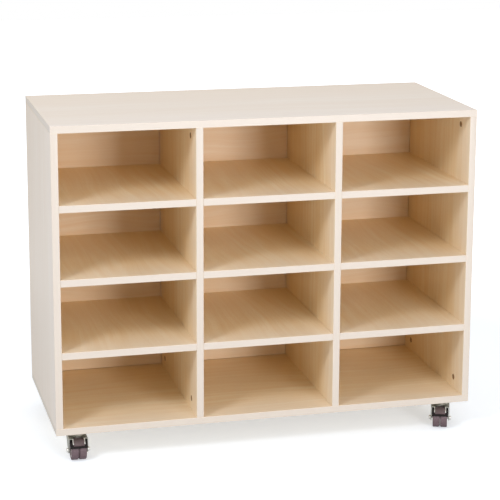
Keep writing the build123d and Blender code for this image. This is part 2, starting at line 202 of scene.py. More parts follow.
class Effects:
    """The effects that several materials share, each a node group that is built once."""

    def group(self, title: str, takes: dict[str, float | None], gives: Iterable[str]) -> tuple[Wiring, dict, dict]:
        """Start a shader group with named inputs and outputs.

        Args:
            title: the group's name.
            takes: each input's name and first value, or no value for a vector.
            gives: the names of its outputs, all of them numbers.

        Returns:
            The group's wiring, its input sockets by name and its output sockets by name.
        """
        tree = bpy.data.node_groups.new(title, "ShaderNodeTree")
        for name, value in takes.items():
            kind = "NodeSocketVector" if value is None else "NodeSocketFloat"
            socket = tree.interface.new_socket(name, in_out="INPUT", socket_type=kind)
            if value is not None:
                socket.default_value = value
        for name in gives:
            tree.interface.new_socket(name, in_out="OUTPUT", socket_type="NodeSocketFloat")
        net = Wiring(tree)
        came, goes = net.node("NodeGroupInput"), net.node("NodeGroupOutput")
        return net, {name: came.outputs[name] for name in takes}, {name: goes.inputs[name] for name in gives}

    @cached_property
    def grain(self) -> NodeTree:
        """The printed maple pattern, along the first direction of its position, in metres.

        Broad tones, streaks and fine fibre are bent by a slow drift, with arched rings and a tone for each stave.

        Returns:
            A group that gives the tone, the fine fibre and the short dark flecks.
        """
        takes = {"Position": None, "Stave width": 0.09, "Stave contrast": 0.5}
        net, takes, gives = self.group("maple_print", takes, ("Shade", "Fibre", "Flecks"))
        place = takes["Position"]
        along, aside, up = net.split(place)
        drift = net.noise(net.stretch(place, 1.0, 3.0, 3.0), 1.7)
        across = net.plus(aside, net.times(net.plus(drift, -0.5), 0.11))
        bent = net.combine(along, across, up)
        broad = net.noise(net.stretch(bent, 1.4, 17.0, 17.0), 1.0, 3.0, 0.55)
        fibre = net.noise(net.stretch(bent, 7.0, 330.0, 330.0), 1.0, 3.0, 0.6)
        streaks = net.noise(net.stretch(bent, 2.2, 78.0, 78.0), 1.0, 2.0, 0.6)
        dashes = net.noise(net.stretch(place, 55.0, 1100.0, 1100.0), 1.0, 1.0)
        arcs = net.noise(net.stretch(place, 1.1, 4.5, 4.5), 1.0, 1.0)
        wave = net.plus(net.times(across, 26.0), net.times(arcs, 6.0))
        rings = net.times(net.math("SINE", net.times(wave, TAU)), net.ramp(broad, 0.42, 0.62, 0.05, 0.5))
        stave = net.math("FLOOR", net.math("DIVIDE", aside, takes["Stave width"]))
        tone = net.node("ShaderNodeTexWhiteNoise", {"W": stave}, noise_dimensions="1D").outputs[0]
        tones = net.times(net.plus(tone, -0.5), takes["Stave contrast"])
        shares = ((broad, 1.3), (streaks, 1.15), (fibre, 0.45), (rings, 0.3))
        shade = net.plus(*(net.times(layer, share) for layer, share in shares), -0.87)
        net.feed(gives["Shade"], net.math("ADD", shade, tones, clamp=True))
        net.feed(gives["Fibre"], fibre)
        net.feed(gives["Flecks"], net.ramp(dashes, 0.6, 0.74))
        return net.tree

    @cached_property
    def wear(self) -> NodeTree:
        """Where edges are rubbed.

        Returns:
            A group that gives a broken mask along the corners, within a radius.
        """
        net, takes, gives = self.group("edge_wear", {"Radius": 0.0005, "Break-up": 300.0}, ("Mask",))
        rounded = net.node("ShaderNodeBevel", {"Radius": takes["Radius"]}, samples=4).outputs[0]
        edge = net.ramp(net.agreement(rounded, net.node("ShaderNodeNewGeometry").outputs["Normal"]), 0.995, 0.86)
        spots = net.ramp(net.noise(net.place(), takes["Break-up"]), 0.35, 0.62)
        net.feed(gives["Mask"], net.times(edge, spots))
        return net.tree

    @cached_property
    def dust(self) -> NodeTree:
        """Fine dust on what faces up.

        Returns:
            A group that gives its mask.
        """
        net, takes, gives = self.group("fine_dust", {"Amount": 0.2}, ("Mask",))
        up = net.ramp(net.split(net.place("Normal"))[2], 0.1, 0.9, 0.25)
        cloud = net.times(net.noise(net.place(), 90.0, 4.0, 0.65), up)
        net.feed(gives["Mask"], net.times(cloud, takes["Amount"]))
        return net.tree

    @cached_property
    def mottle(self) -> NodeTree:
        """Uneven tone and a fine pitted surface, as on plated, rolled or moulded parts.

        Returns:
            A group that gives the tone and the pits.
        """
        net, takes, gives = self.group("mottle", {"Patch size": 0.004, "Pit size": 0.0004}, ("Tone", "Pits"))
        for name, size, detail in (("Tone", "Patch size", 4.0), ("Pits", "Pit size", 2.0)):
            net.feed(gives[name], net.noise(net.place(), net.math("DIVIDE", 1.0, takes[size]), detail))
        return net.tree


EFFECTS = Effects()


def start_material(title: str) -> tuple[Material, Wiring, Node]:
    """Begin a material.

    Args:
        title: the material's name.

    Returns:
        The material, its wiring and its Principled shader.
    """
    made = bpy.data.materials.new(title)
    made.use_nodes = True
    return made, Wiring(made.node_tree), made.node_tree.nodes["Principled BSDF"]


@dataclass(frozen=True)
class GrainRun:
    """How a board is laid: its grain on faces that look along X, Y and Z, its banded edges and its pale faces.

    The banded edges and the pale faces are given by the way they look. The pale faces of the top and side panels are
    painted sheen: their outer faces are greyed and lightened as by a reflection of the white room. The back panels'
    pale faces are their own paler tone.
    """

    along: tuple[Axis, Axis, Axis]
    banded: tuple[Place, ...] = (FRONT,)
    pale: tuple[Place, ...] = ()
    paleness: float = 0.7


@dataclass(frozen=True)
class BoardFinish:
    """Satin maple-effect melamine with edge banding, whose grain follows each face.

    It carries painted light near the open front, paler and less golden, and painted shade towards the rear, deeper
    golden; those places are in metres along Y.
    """

    light: str = "fceac9"
    dark: str = "efd09f"
    fleck: str = "d0a872"
    band: str = "d5cabf"
    # painted sheen: the greyer, paler tone of the top's and side panels' outer faces, standing in for a reflection of
    # the white room; the back panels take it as their own paler tone
    outer: str = "e4d9d1"
    # painted light near the open front and painted warm shade towards the rear, by depth along Y
    faded: str = "fcedda"
    unfaded: str = "f7d18c"
    rubbed: str = "faf0e2"
    fleck_share: float = 0.28
    fleck_depth: float = 0.6
    band_share: float = 0.82
    fade: float = 0.5
    front_light_from: Point = (-0.236, -0.09)
    rear_shade_from: Point = (-0.05, 0.2)
    square_on: float = 0.71
    toned_from: Point = (0.5, 0.9)
    wear: float = 0.5
    wear_radius: float = 0.0012
    roughness: float = 0.36
    uneven: float = 0.16
    relief: Point = (0.00008, 0.25)
    stave_width: float = 0.085
    stave_contrast: float = 0.22

    def position(self, net: Wiring, run: GrainRun, shift: Place) -> NodeSocket:
        """Turn the pattern with each face, so that its first direction is the grain's.

        Args:
            net: the material's wiring.
            run: the way of the grain on each face.
            shift: how far the pattern is moved, in metres.

        Returns:
            The pattern's position.
        """
        parts = net.split(net.vector("ADD", net.place(), shift).outputs[0])
        looks = net.split(net.place("Normal"))
        laid = []
        for normal, grain in zip(Axis, run.along):
            across = next(axis for axis in Axis if axis not in (normal, grain))
            laid.append(net.combine(*(parts[axis.value] for axis in (grain, across, normal))))
        on_x, on_y = (net.math("GREATER_THAN", net.math("ABSOLUTE", looks[index]), self.square_on) for index in (0, 1))
        return net.choose(on_x, net.choose(on_y, laid[2], laid[1]), laid[0])

    def material(self, title: str, run: GrainRun, shift: Place) -> Material:
        """Make the finish for one board.

        Args:
            title: the material's name.
            run: the way of the grain on each face.
            shift: how far the pattern is moved, in metres, so that no two boards match.

        Returns:
            The material.
        """
        made, net, shader = start_material(title)
        where = self.position(net, run, shift)
        printed = net.effect(
            EFFECTS.grain, Position=where, Stave_width=self.stave_width, Stave_contrast=self.stave_contrast
        )
        fibre, flecks = printed["Fibre"], printed["Flecks"]
        colour = net.blend(printed["Shade"], linear(self.dark), linear(self.light))
        colour = net.tint(colour, net.times(flecks, self.fleck_share), self.fleck)
        # painted light and shade by depth: paler near the open front, deeper golden towards the rear
        depth = net.split(net.place())[1]
        colour = net.tint(colour, net.ramp(depth, *self.front_light_from, self.fade, 0.0), self.faded)
        colour = net.tint(colour, net.ramp(depth, *self.rear_shade_from, 0.0, self.fade), self.unfaded)
        # edge banding, then the pale faces: painted sheen on the outer faces of the top and side panels, the paler tone
        # of the back panels
        toned = [(way, self.band_share, self.band) for way in run.banded]
        for way, share, tone in toned + [(way, run.paleness, self.outer) for way in run.pale]:
            facing = net.agreement(net.place("Normal"), way)
            colour = net.tint(colour, net.ramp(facing, *self.toned_from, 0.0, share), tone)
        rubbed = net.effect(EFFECTS.wear, Radius=self.wear_radius)["Mask"]
        colour = net.tint(colour, net.times(rubbed, self.wear), self.rubbed)
        net.feed(shader.inputs["Base Color"], colour)
        net.feed(shader.inputs["Roughness"], net.plus(net.times(fibre, self.uneven), self.roughness - self.uneven / 2))
        net.relief(shader, net.math("SUBTRACT", fibre, net.times(flecks, self.fleck_depth)), *self.relief)
        return made


@dataclass(frozen=True)
class PlainFinish:
    """A metal, plastic or rubber surface with uneven tone, fine pits, rubbed edges and dust."""

    colour: str
    second: str
    rubbed: str
    roughness: float
    metallic: float = 0.0
    uneven: float = 0.12
    patch: float = 0.004
    pit: float = 0.0004
    pit_depth: float = 0.00003
    pit_strength: float = 0.5
    wear_radius: float = 0.0005
    wear: float = 0.6
    dust: float = 0.15
    dust_colour: str = "cfc8c0"
    shine: float = 0.5

    def material(self, title: str) -> Material:
        """Make the finish.

        Args:
            title: the material's name.

        Returns:
            The material.
        """
        made, net, shader = start_material(title)
        mottle = net.effect(EFFECTS.mottle, Patch_size=self.patch, Pit_size=self.pit)
        rubbed = net.effect(EFFECTS.wear, Radius=self.wear_radius)["Mask"]
        dust = net.effect(EFFECTS.dust, Amount=self.dust)["Mask"]
        tone = net.ramp(mottle["Tone"], 0.35, 0.65)
        colour = net.blend(tone, linear(self.colour), linear(self.second))
        colour = net.tint(colour, net.times(rubbed, self.wear), self.rubbed)
        net.feed(shader.inputs["Base Color"], net.tint(colour, dust, self.dust_colour))
        rough = net.plus(self.roughness - self.uneven / 2, net.times(tone, self.uneven))
        net.feed(shader.inputs["Roughness"], net.math("ADD", rough, dust, clamp=True))
        shader.inputs["Metallic"].default_value = self.metallic
        shader.inputs["Specular IOR Level"].default_value = self.shine
        net.relief(shader, mottle["Pits"], self.pit_depth, self.pit_strength)
        return made


@dataclass(frozen=True)
class FibreFinish:
    """Raw wood or chip with short fibres along one axis, for what is drilled or turned."""

    light: str
    dark: str
    along: Axis
    length: float = 30.0
    fineness: float = 600.0
    roughness: Point = (0.62, 0.82)
    relief: Point = (0.0002, 0.5)

    def material(self, title: str) -> Material:
        """Make the finish.

        Args:
            title: the material's name.

        Returns:
            The material.
        """
        made, net, shader = start_material(title)
        scale = [self.fineness] * 3
        scale[self.along.value] *= 3.0 / self.length
        fibre = net.noise(net.stretch(net.place(), *scale), 1.0, 3.0, 0.6)
        net.feed(shader.inputs["Base Color"], net.blend(fibre, linear(self.dark), linear(self.light)))
        net.feed(shader.inputs["Roughness"], net.ramp(fibre, 0.3, 0.7, *self.roughness))
        net.relief(shader, fibre, *self.relief)
        return made


class Palette:
    """Every finish of the trolley, made once."""

    def __init__(self) -> None:
        """Make the materials."""
        plated = {"pit_depth": 0.00001}
        self.steel = PlainFinish("b3b0a6", "a2a096", "dedcd4", 0.34, 1.0, **plated).material("zinc_plate")
        # the axle pin's bright zinc, and a painted highlight on the fork's lips and crown edge, which are the fork's
        # own pressed steel
        self.bright_steel = PlainFinish("eceae4", "dcdad4", "f8f6f0", 0.3, 0.5, **plated).material("axle_zinc_and_lip_painted_highlight")
        self.hood = PlainFinish("5c484a", "524042", "806a68", 0.52, pit=0.0005, wear=0.3, shine=0.35).material(
            "moulded_hood"
        )
        # painted shade: the hood's shell and rim band round the dome, near-black where shadow and gaps fall
        self.hood_shell = PlainFinish(
            "191212", "130d0d", "3c302e", 0.55, pit=0.0005, wear=0.2, dust=0.03, shine=0.12
        ).material("painted_shade_hood_shell")
        self.tread = PlainFinish(
            "6c585d", "655257", "867274", 0.62, pit=0.0006, wear=0.25, dust=0.2, shine=0.35
        ).material("grey_tread")
        self.hub = PlainFinish("b9a8a8", "a99a9a", "cbbcba", 0.45, wear=0.3).material("hub_moulding")
        self.cam = PlainFinish("a57f50", "8a6840", "c8a678", 0.45, 0.35, patch=0.002).material("bronzed_cam")
        self.beech = FibreFinish("d9b68c", "b98d5f", Axis.X).material("raw_beech")
        self.chip = FibreFinish("c9a77e", "8e6c48", Axis.X, 4.0).material("raw_chipboard")


def outward(shape: BMesh) -> BMesh:
    """Merge doubles and turn a closed shape's faces outwards.

    Args:
        shape: the shape.

    Returns:
        The same shape.
    """
    bmesh.ops.remove_doubles(shape, verts=shape.verts, dist=1e-4)
    bmesh.ops.recalc_face_normals(shape, faces=shape.faces)
    return shape


def mesh_of(shape: BMesh, title: str) -> Mesh:
    """Turn a shape into a mesh and let go of the shape.

    Args:
        shape: the shape.
        title: the mesh's name.

    Returns:
        The mesh.
    """
    made = bpy.data.meshes.new(title)
    shape.to_mesh(made)
    shape.free()
    return made


def moved(shape: BMesh, *steps: Matrix) -> BMesh:
    """Move a shape.

    Args:
        shape: the shape.
        steps: the matrices, one after another.

    Returns:
        The same shape.
    """
    for step in steps:
        bmesh.ops.transform(shape, matrix=step, verts=shape.verts)
    return shape


def joined(shapes: Iterable[BMesh]) -> BMesh:
    """Gather several shapes into one.

    Args:
        shapes: the shapes, which are used up.

    Returns:
        One shape.
    """
    whole = bmesh.new()
    for shape in shapes:
        part = mesh_of(shape, "part")
        whole.from_mesh(part)
        bpy.data.meshes.remove(part)
    return whole


def hoop(shape: BMesh, radius: float, heights: Sequence[float]) -> list[BMVert]:
    """Set points round the Z axis, one for each height."""
    turns = [(TAU * step / len(heights), height) for step, height in enumerate(heights)]
    return [shape.verts.new((radius * cos(turn), radius * sin(turn), height)) for turn, height in turns]


def skin(shape: BMesh, rings: Sequence[Sequence[BMVert]], closed: bool = False) -> None:
    """Fill between neighbouring rings, any of which may be a single point.

    Args:
        shape: the shape that they belong to.
        rings: the rings, in order.
        closed: whether the last ring joins the first.
    """
    for before, after in zip(rings, [*rings[1:], *(rings[:1] if closed else ())]):
        count = max(len(before), len(after))
        for first in range(count):
            last = (first + 1) % count
            corners = (before[first % len(before)], before[last % len(before)])
            corners += (after[last % len(after)], after[first % len(after)])
            unique = list(dict.fromkeys(corners))
            if len(unique) > 2:
                shape.faces.new(unique)


def prism(outline: Sequence[Point], low: float, high: float) -> BMesh:
    """Raise an outline in X and Y from one level to another.

    Args:
        outline: the corners, in order.
        low: the lower Z.
        high: the upper Z.

    Returns:
        A closed shape.
    """
    shape = bmesh.new()
    rings = [[shape.verts.new((x, y, level)) for x, y in outline] for level in (low, high)]
    for ring in rings:
        shape.faces.new(ring)
    skin(shape, rings)
    return outward(shape)


def turned(profile: Sequence[Point], segments: int = 64, closed: bool = False) -> BMesh:
    """Turn a profile about Z, as on a lathe.

    Args:
        profile: radius and height pairs; a radius of 0 closes the shape at the axis.
        segments: how many steps go round.
        closed: whether the profile's last point joins its first, as for a ring.

    Returns:
        A closed shape.
    """
    shape = bmesh.new()
    skin(shape, [hoop(shape, radius, [height] * (segments if radius else 1)) for radius, height in profile], closed)
    return outward(shape)


def rod(radius: float, low: float, high: float, segments: int = 32) -> BMesh:
    """A plain round rod about Z, for drilling."""
    return turned([(0, low), (radius, low), (radius, high), (0, high)], segments)


def arc(centre: Point, radius: float, start: float, end: float, steps: int) -> list[Point]:
    """Points on an arc, both ends included, from one angle in degrees to another."""
    angles = [radians(start + (end - start) * step / steps) for step in range(steps + 1)]
    return [(centre[0] + radius * cos(angle), centre[1] + radius * sin(angle)) for angle in angles]


def loose(data: ID, title: str) -> Object:
    """Make an object and link it.

    Args:
        data: its mesh, lamp or lens.
        title: its name.

    Returns:
        The object.
    """
    made = bpy.data.objects.new(title, data)
    bpy.context.scene.collection.objects.link(made)
    return made


def ease(target: Object, width: float, sharper_than: float) -> None:
    """Ease an object's edges with a live bevel.

    Args:
        target: the object.
        width: the bevel's width, in the mesh's own units.
        sharper_than: the angle in degrees past which an edge is eased.
    """
    step = target.modifiers.new("ease", "BEVEL")
    step.width, step.segments, step.limit_method, step.angle_limit = width, 2, "ANGLE", radians(sharper_than)


def settle(target: Object) -> Mesh:
    """Bake an object's modifiers into a plain mesh and let go of the object.

    Args:
        target: the object.

    Returns:
        The mesh.
    """
    graph = bpy.context.evaluated_depsgraph_get()
    graph.update()
    made = bpy.data.meshes.new_from_object(target.evaluated_get(graph), preserve_all_data_layers=True, depsgraph=graph)
    target.modifiers.clear()
    discard(target)
    return made


def discard(target: Object) -> None:
    """Remove a working object and its mesh.

    Args:
        target: the object.
    """
    spare = target.data
    bpy.data.objects.remove(target)
    bpy.data.meshes.remove(spare)


def worked(first: BMesh, steps: Sequence[tuple[Cut, BMesh]], bevel: float = 0.0) -> Mesh:
    """Work a shape with others, one after another, and ease its edges.

    Args:
        first: the shape to start from.
        steps: what is done, and with which shape.
        bevel: the width of the eased edges, or 0 for none.

    Returns:
        The finished mesh, still in its own units.
    """
    target = loose(mesh_of(first, "work"), "work")
    tools = [loose(mesh_of(shape, "tool"), "tool") for _, shape in steps]
    for (how, _), tool in zip(steps, tools):
        step = target.modifiers.new(how.name, "BOOLEAN")
        step.operation, step.solver, step.object = how.value, "EXACT", tool
    if bevel:
        ease(target, bevel, EASED_FROM)
    made = settle(target)
    for tool in tools:
        discard(tool)
    return made


@dataclass
class Piece:
    """One finished piece: its mesh, its finishes, the body that it rides on and the node that it stands for."""

    title: str
    mesh: Mesh
    finishes: Sequence[Material]
    body: str
    slot: str
    node: str
    which: Sequence[int] = ()

    def finish(self, matrix: Matrix) -> None:
        """Bring the mesh to its place and hand the piece to the frame.

        Args:
            matrix: from the mesh's own units and place to the frame's metres.
        """
        self.mesh.transform(matrix)
        self.mesh.name = self.title
        self.mesh.materials.clear()
        for material in self.finishes:
            self.mesh.materials.append(material)
        if self.which:
            self.mesh.polygons.foreach_set("material_index", self.which)
        self.mesh.shade_smooth()
        self.mesh.set_sharp_from_angle(angle=radians(SMOOTH_UNDER))
        made = loose(self.mesh, self.title)
        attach(made, self.body)
        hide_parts(self.node)
        LOG.info("%s rides on %s: %d faces", self.title, self.body, len(self.mesh.polygons))


def dress(node: str, material: Material) -> None:
    """Give a carried-over node a finish.

    Args:
        node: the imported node's name.
        material: its new material.
    """
    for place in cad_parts[node].material_slots:
        place.material = material
    LOG.info("%s keeps its shape and takes %s", node, material.name)


@dataclass
class Carcass:
    """The boards: two panels, four uprights, nine shelves and three back panels, and what joins them."""

    board: float = 18.0
    compartment: float = 340.0
    columns: int = 3
    depth: float = 472.0
    floor_top: float = 93.0
    ceiling: float = 839.0
    edge_round: float = 0.9
    recess_radius: float = 7.7
    recess_depth: float = 13.3
    cam_inset: float = 66.0
    cam_from_end: float = 30.0
    finish: BoardFinish = BoardFinish()
    back_finish: BoardFinish = BoardFinish(light="feeedd", dark="e2b076", outer="f8e6d2")

    # the top's upper face carries painted sheen
    top = GrainRun((Axis.Y, Axis.X, Axis.X), ENDS, (UP,))
    bottom = GrainRun((Axis.Y, Axis.X, Axis.X), ENDS)
    shelf = GrainRun((Axis.Y, Axis.X, Axis.Y))
    divider = GrainRun((Axis.Z, Axis.Z, Axis.Y))
    # each side panel's outer face carries painted sheen
    left_side = GrainRun((Axis.Z, Axis.Z, Axis.Y), pale=(LEFT,))
    right_side = GrainRun((Axis.Z, Axis.Z, Axis.Y), pale=(RIGHT,))
    back = GrainRun((Axis.Z, Axis.X, Axis.X), (), (FRONT, REAR), 0.3)

    @property
    def half_width(self) -> float:
        """Half of the carcass's width."""
        return (self.columns * (self.compartment + self.board) + self.board) / 2

    @property
    def uprights(self) -> list[tuple[str, GrainRun, float, int]]:
        """The side panels and dividers, from left to right.

        Returns:
            Each one's node and grain, its left face in X and the side that its cams are let into.
        """
        kinds = (
            ("left_side_panel", self.left_side, 1), ("left_divider", self.divider, -1),
            ("right_divider", self.divider, 1), ("right_side_panel", self.right_side, -1),
        )
        pitch = self.board + self.compartment
        return [(node, run, index * pitch - self.half_width, side) for index, (node, run, side) in enumerate(kinds)]

    @property
    def cam_places(self) -> list[Point]:
        """The Y and Z of the cams in each upright."""
        reach, rise = self.depth / 2 - self.cam_inset, self.cam_from_end
        return [(y, z) for y in (-reach, reach) for z in (self.floor_top + rise, self.ceiling - rise)]

    def maple(self, node: str, run: GrainRun, order: int) -> Material:
        """The finish of one board, with a move of its own for the pattern."""
        finish = self.back_finish if run is self.back else self.finish
        return finish.material(f"maple_{node}", run, (0.731 * order, 1.137 * order, 0.517 * order))

    def dress_boards(self) -> None:
        """Give each carried-over board its own grain."""
        runs = {"top_panel": self.top, "bottom_panel": self.bottom}
        for column in ("left", "centre", "right"):
            runs[f"{column}_back_panel"] = self.back
            runs |= {f"{column}_{row}_shelf": self.shelf for row in ("lower", "middle", "upper")}
        for order, (node, run) in enumerate(runs.items(), start=1):
            dress(node, self.maple(node, run, order))

    def is_drilled(self, place: Vector, left: float) -> int:
        """Tell the raw faces inside one of an upright's cam recesses from the others.

        Args:
            place: the face's middle.
            left: the upright's left face in X.

        Returns:
            1 for a drilled face, else 0.
        """
        inside = left + 0.01 < place[0] < left + self.board - 0.01
        near = any(hypot(place[1] - y, place[2] - z) < self.recess_radius + 0.1 for y, z in self.cam_places)
        return int(inside and near)

    def make_uprights(self, palette: Palette) -> None:
        """Make the side panels and dividers, with eased front edges and round cam recesses.

        Args:
            palette: the trolley's finishes.
        """
        radius, half, reach = self.edge_round, self.board / 2, self.depth / 2
        outline = arc((half - radius, radius - reach), radius, 0, -90, 4)
        outline += [*arc((radius - half, radius - reach), radius, -90, -180, 4), (-half, reach), (half, reach)]
        for order, (node, run, left, side) in enumerate(self.uprights, start=31):
            board = moved(prism(outline, self.floor_top, self.ceiling), Matrix.Translation((left + half, 0, 0)))
            face, aim = left + (self.board if side > 0 else 0), Matrix.Rotation(-side * pi / 2, 4, "Y")
            drills = [
                moved(rod(self.recess_radius, -OVERRUN, self.recess_depth, 48), Matrix.Translation((face, y, z)) @ aim)
                for y, z in self.cam_places
            ]
            mesh = worked(board, [(Cut.TAKE, joined(drills))])
            drilled = [self.is_drilled(polygon.center, left) for polygon in mesh.polygons]
            finishes = (self.maple(node, run, order), palette.chip)
            Piece(f"{node}_board", mesh, finishes, "carcass", "maple_board", node, drilled).finish(Matrix.Scale(MM, 4))

    def build(self, palette: Palette) -> None:
        """Make or dress all the boards, and dress their hidden dowels and bolts.

        Args:
            palette: the trolley's finishes.
        """
        self.dress_boards()
        self.make_uprights(palette)
        hidden = {"short_dowels": palette.beech, "through_dowels": palette.beech, "cam_bolts": palette.steel}
        for node, material in hidden.items():
            dress(node, material)


class RepeatedFitting:
    """A small fitting that a node tree makes once and sets on every point, facing that point's aim.

    A fitting's size fields, in millimetres, are the named inputs of its tree.
    """

    title = node = slot = ""
    bevel = 0.0
    eased_from = 40.0

    @property
    def sizes(self) -> dict[str, float]:
        """The tree's named inputs, in metres."""
        return {part.name.replace("_", " ").capitalize(): getattr(self, part.name) * MM for part in fields(self)}

    def shape(self, net: Wiring, sizes: dict[str, NodeSocket]) -> NodeSocket:
        """Wire one fitting, with its face at the origin and its nose along +Z."""
        raise NotImplementedError

    def solid(self, net: Wiring, kind: str, feeds: Feeds, level: object = 0.0) -> NodeSocket:
        """Add a primitive and raise its middle to a level.

        Args:
            net: the tree's wiring.
            kind: the end of the primitive's node type.
            feeds: what its inputs take, by name.
            level: the height of its middle.

        Returns:
            The mesh.
        """
        made = net.node(f"GeometryNodeMesh{kind}", feeds).outputs["Mesh"]
        feeds = {"Geometry": made, "Translation": net.combine(0.0, 0.0, level)}
        return net.node("GeometryNodeTransform", feeds).outputs[0]

    def fused(self, net: Wiring, *parts: NodeSocket) -> NodeSocket:
        """Fuse meshes into one.

        Args:
            net: the tree's wiring.
            parts: the meshes.

        Returns:
            The mesh.
        """
        made = net.node("GeometryNodeMeshBoolean", operation="UNION", solver="EXACT")
        for part in parts:
            net.feed(made.inputs["Mesh 2"], part)
        return made.outputs["Mesh"]

    def less(self, net: Wiring, whole: NodeSocket, cut: NodeSocket) -> NodeSocket:
        """Take one mesh out of another."""
        feeds = {"Mesh 1": whole, "Mesh 2": cut}
        return net.node("GeometryNodeMeshBoolean", feeds, operation="DIFFERENCE", solver="EXACT").outputs["Mesh"]

    def cross(self, net: Wiring, spans: Sequence[object], level: object = 0.0) -> NodeSocket:
        """Fuse a block along X and one along Y, about a level.

        Args:
            net: the tree's wiring.
            spans: the length along X, the length along Y, and the width and the height of both.
            level: the height of their middle.

        Returns:
            The mesh.
        """
        long, short, width, deep = spans
        blocks = (net.combine(long, width, deep), net.combine(width, short, deep))
        return self.fused(net, *(self.solid(net, "Cube", {"Size": block}, level) for block in blocks))

    def tree(self) -> tuple[NodeTree, dict[str, str]]:
        """Build the node tree.

        Returns:
            The tree and the identifier of each named input.
        """
        tree = bpy.data.node_groups.new(self.title, "GeometryNodeTree")
        kinds = {"Geometry": "Geometry", **dict.fromkeys(self.sizes, "Float"), "Finish": "Material"}
        names = {
            name: tree.interface.new_socket(name, in_out="INPUT", socket_type=f"NodeSocket{kind}").identifier
            for name, kind in kinds.items()
        }
        tree.interface.new_socket("Geometry", in_out="OUTPUT", socket_type="NodeSocketGeometry")
        net = Wiring(tree)
        came, goes = net.node("NodeGroupInput").outputs, net.node("NodeGroupOutput")
        item = self.shape(net, {name: came[name] for name in self.sizes})
        aim = net.node("GeometryNodeInputNamedAttribute", {"Name": "aim"}, data_type="FLOAT_VECTOR")
        turn = net.node("FunctionNodeAlignRotationToVector", {"Vector": aim.outputs["Attribute"]}, axis="Z")
        feeds = {"Points": came["Geometry"], "Instance": item, "Rotation": turn.outputs["Rotation"]}
        stand = net.node("GeometryNodeInstanceOnPoints", feeds)
        real = net.node("GeometryNodeRealizeInstances", {"Geometry": stand.outputs["Instances"]})
        paint = net.node("GeometryNodeSetMaterial", {"Geometry": real.outputs[0], "Material": came["Finish"]})
        net.feed(goes.inputs["Geometry"], paint.outputs[0])
        return tree, names

    def build(self, places: Sequence[tuple[Place, Place]], finish: Material) -> None:
        """Make the fittings, which all ride on the carcass.

        Args:
            places: each fitting's place and aim, in millimetres and the shared frame.
            finish: their material.
        """
        points = bpy.data.meshes.new(self.title)
        points.from_pydata([tuple(value * MM for value in place) for place, _ in places], [], [])
        aims = points.attributes.new("aim", "FLOAT_VECTOR", "POINT")
        aims.data.foreach_set("vector", [value for _, aim in places for value in aim])
        holder = loose(points, "holder")
        tree, names = self.tree()
        step = holder.modifiers.new(self.title, "NODES")
        step.node_group = tree
        for name, value in {**self.sizes, "Finish": finish}.items():
            step[names[name]] = value
        if self.bevel:
            ease(holder, self.bevel, self.eased_from)
        mesh = settle(holder)
        if "aim" in mesh.attributes:
            mesh.attributes.remove(mesh.attributes["aim"])
        Piece(self.title, mesh, (finish,), "carcass", self.slot, self.node).finish(Matrix.Identity(4))


@dataclass
class CamLocks(RepeatedFitting):
    """Quarter-turn cam locks: dark discs with a crossed drive recess, let in a little below the board's face."""

    title, node, slot, bevel = "cam_lock_discs", "cam_locks", "cam_metal", 0.00022
    recess: ClassVar[float] = 0.3
    rounds: ClassVar[int] = 56
    radius: float = 7.5
    length: float = 12.5
    slot_length: float = 9.0
    slot_width: float = 1.8
    cross_length: float = 6.2
    slot_depth: float = 2.0

    def shape(self, net: Wiring, sizes: dict[str, NodeSocket]) -> NodeSocket:
        """Wire one cam: a disc, less a long slot and a shorter one across it.

        Args:
            net: the tree's wiring.
            sizes: the tree's inputs.

        Returns:
            The mesh.
        """
        feeds = {"Vertices": self.rounds, "Radius": sizes["Radius"], "Depth": sizes["Length"]}
        disc = self.solid(net, "Cylinder", feeds, net.times(sizes["Length"], -0.5))
        spans = (sizes["Slot length"], sizes["Cross length"], sizes["Slot width"], net.times(sizes["Slot depth"], 2.0))
        return self.less(net, disc, self.cross(net, spans))

    def place(self, carcass: Carcass, palette: Palette) -> None:
        """Let the cams into the uprights.

        Args:
            carcass: the boards.
            palette: the trolley's finishes.
        """
        places = []
        for _, _, left, side in carcass.uprights:
            face = left + (carcass.board if side > 0 else 0) - side * self.recess
            places += [((face, y, z), (side, 0.0, 0.0)) for y, z in carcass.cam_places]
        self.build(places, palette.cam)


@dataclass
class SwivelRivets(RepeatedFitting):
    """Rivets that hold each fork to its plate, with a low tapered head."""

    title, node, slot, bevel = "swivel_rivet_heads", "swivel_rivets", "zinc_steel", 0.0003
    sunk: ClassVar[float] = 0.1 * MM
    taper: ClassVar[float] = 0.62
    rounds: ClassVar[tuple[int, int]] = (40, 32)
    head_radius: float = 7.5
    head_height: float = 2.5
    shank_radius: float = 4.0
    shank_length: float = 19.0

    def shape(self, net: Wiring, sizes: dict[str, NodeSocket]) -> NodeSocket:
        """Wire one: a tapered head about the origin, fused to a shank behind it that is sunk into it.

        Args:
            net: the tree's wiring.
            sizes: the tree's inputs.

        Returns:
            The mesh.
        """
        radius, height, length = sizes["Head radius"], sizes["Head height"], sizes["Shank length"]
        feeds = {"Radius Top": net.times(radius, self.taper), "Radius Bottom": radius, "Depth": height}
        head = self.solid(net, "Cone", {"Vertices": self.rounds[0], **feeds})
        feeds = {"Vertices": self.rounds[1], "Radius": sizes["Shank radius"], "Depth": length}
        shank = self.solid(net, "Cylinder", feeds, net.plus(net.times(length, -0.5), self.sunk))
        return self.fused(net, head, shank)


